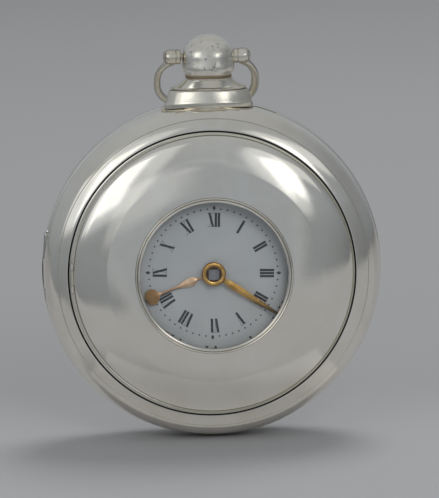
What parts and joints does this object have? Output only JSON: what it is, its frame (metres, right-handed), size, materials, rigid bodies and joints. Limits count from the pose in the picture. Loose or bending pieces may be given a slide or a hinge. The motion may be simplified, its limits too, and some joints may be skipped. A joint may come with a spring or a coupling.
{
  "type": "pocket watch",
  "caption": "Pair-cased half hunter pocket watch: domed cover with a small glazed aperture, ring bezel, ball pendant and bow, key-wound movement with chain, fusee and verge.",
  "frame": {"origin": "centre of the flat on the outer case's back", "axes": "+X to the wearer's right as the dial is read, towards three o'clock; +Z towards twelve and the pendant; the dial faces -Y and the back faces +Y"},
  "size_m": [0.0573, 0.018, 0.0687],
  "materials": {
    "silver": "polished silver with fine wear",
    "silver_dull": "silver, worn",
    "crystal": "clear watch glass",
    "enamel": "vitreous enamel on copper",
    "gold": "gold",
    "copper_gold": "coppery gold",
    "gilt": "mercury-gilt brass",
    "brass": "brass",
    "steel": "polished steel",
    "blued_steel": "blued steel"
  },
  "bodies": {
    "case": {"outer_case_back": "silver", "inner_case": "silver", "pendant_collar": "silver", "pendant": "silver", "outer_hinge_pin": "silver_dull", "cover_hinge_pin": "silver_dull", "bow_screw_left": "silver_dull", "bow_screw_right": "silver_dull", "regulator_disc": "silver_dull", "dial": "enamel", "brass_edge": "gilt", "pillar_plate": "gilt", "pillar_1": "gilt", "pillar_2": "gilt", "pillar_3": "gilt", "pillar_4": "gilt", "top_plate": "gilt", "crown_bearing": "gilt", "counter_potence": "gilt", "potence": "gilt", "balance_cock": "gilt", "dust_cap": "gilt", "plate_pin_1": "steel", "plate_pin_2": "steel", "plate_pin_3": "steel", "plate_pin_4": "steel", "barrel_arbor": "steel", "fusee_chain": "steel", "mainspring": "blued_steel", "balance_spring": "blued_steel", "cock_screw": "blued_steel"},
    "outer_bezel": {"outer_bezel": "silver"},
    "half_hunter_cover": {"half_hunter_cover": "silver", "aperture_rim": "silver", "aperture_glass": "crystal"},
    "bow": {"bow": "silver"},
    "minute": {"centre_wheel": "gilt", "cannon_pinion": "steel", "minute_hand": "gold"},
    "hour": {"hour_wheel": "brass", "hour_hand": "copper_gold"},
    "minute_wheel": {"minute_wheel": "brass"},
    "fusee": {"fusee": "gilt"},
    "barrel": {"barrel": "gilt", "barrel_cap": "gilt"},
    "third": {"third_wheel": "gilt"},
    "contrate": {"contrate_wheel": "gilt"},
    "crown": {"crown_wheel": "gilt"},
    "balance": {"verge_staff": "steel", "balance_wheel": "gilt"}
  },
  "joints": [
    {"name": "minute", "type": "hinge", "parent": "case", "child": "minute", "pos_m": [0, -0.0105, 0], "axis": [0, 1, 0], "continuous": true},
    {"name": "hour", "type": "hinge", "parent": "case", "child": "hour", "pos_m": [0, -0.0105, 0], "axis": [0, 1, 0], "continuous": true},
    {"name": "minute_wheel", "type": "hinge", "parent": "case", "child": "minute_wheel", "pos_m": [0.002, -0.0105, -0.00346], "axis": [0, 1, 0], "continuous": true},
    {"name": "fusee", "type": "hinge", "parent": "case", "child": "fusee", "pos_m": [0.0069, -0.0105, 0.00578], "axis": [0, 1, 0], "continuous": true},
    {"name": "barrel", "type": "hinge", "parent": "case", "child": "barrel", "pos_m": [-0.0102, -0.0105, 0.0059], "axis": [0, 1, 0], "continuous": true},
    {"name": "third", "type": "hinge", "parent": "case", "child": "third", "pos_m": [-0.00344, -0.0105, -0.00491], "axis": [0, 1, 0], "continuous": true},
    {"name": "contrate", "type": "hinge", "parent": "case", "child": "contrate", "pos_m": [0.00161, -0.0105, -0.00581], "axis": [0, 1, 0], "continuous": true},
    {"name": "crown", "type": "hinge", "parent": "case", "child": "crown", "pos_m": [0.00161, -0.00675, -0.00581], "axis": [-0.9404, 0, -0.3401], "continuous": true},
    {"name": "balance", "type": "hinge", "parent": "case", "child": "balance", "pos_m": [-0.0054, -0.0105, -0.00834], "axis": [0, 1, 0], "range_deg": [-110, 110], "stiffness_Nm_per_rad": 0.0000012},
    {"name": "outer_bezel", "type": "hinge", "parent": "case", "child": "outer_bezel", "pos_m": [-0.028, -0.0105, 0], "axis": [0, 0, -1], "range_deg": [0, 105]},
    {"name": "cover", "type": "hinge", "parent": "case", "child": "half_hunter_cover", "pos_m": [-0.0239, -0.01575, 0], "axis": [0, 0, -1], "range_deg": [0, 100]},
    {"name": "bow", "type": "hinge", "parent": "case", "child": "bow", "pos_m": [0, -0.0105, 0.0363], "axis": [1, 0, 0], "range_deg": [0, 286]}
  ],
  "couplings": [
    {"joint": "hour", "follows": "minute", "ratio": 0.083333},
    {"joint": "minute_wheel", "follows": "minute", "ratio": -0.33333},
    {"joint": "fusee", "follows": "minute", "ratio": -0.25},
    {"joint": "barrel", "follows": "minute", "ratio": -0.19081},
    {"joint": "third", "follows": "minute", "ratio": -9},
    {"joint": "contrate", "follows": "minute", "ratio": 72},
    {"joint": "crown", "follows": "minute", "ratio": 360}
  ]
}
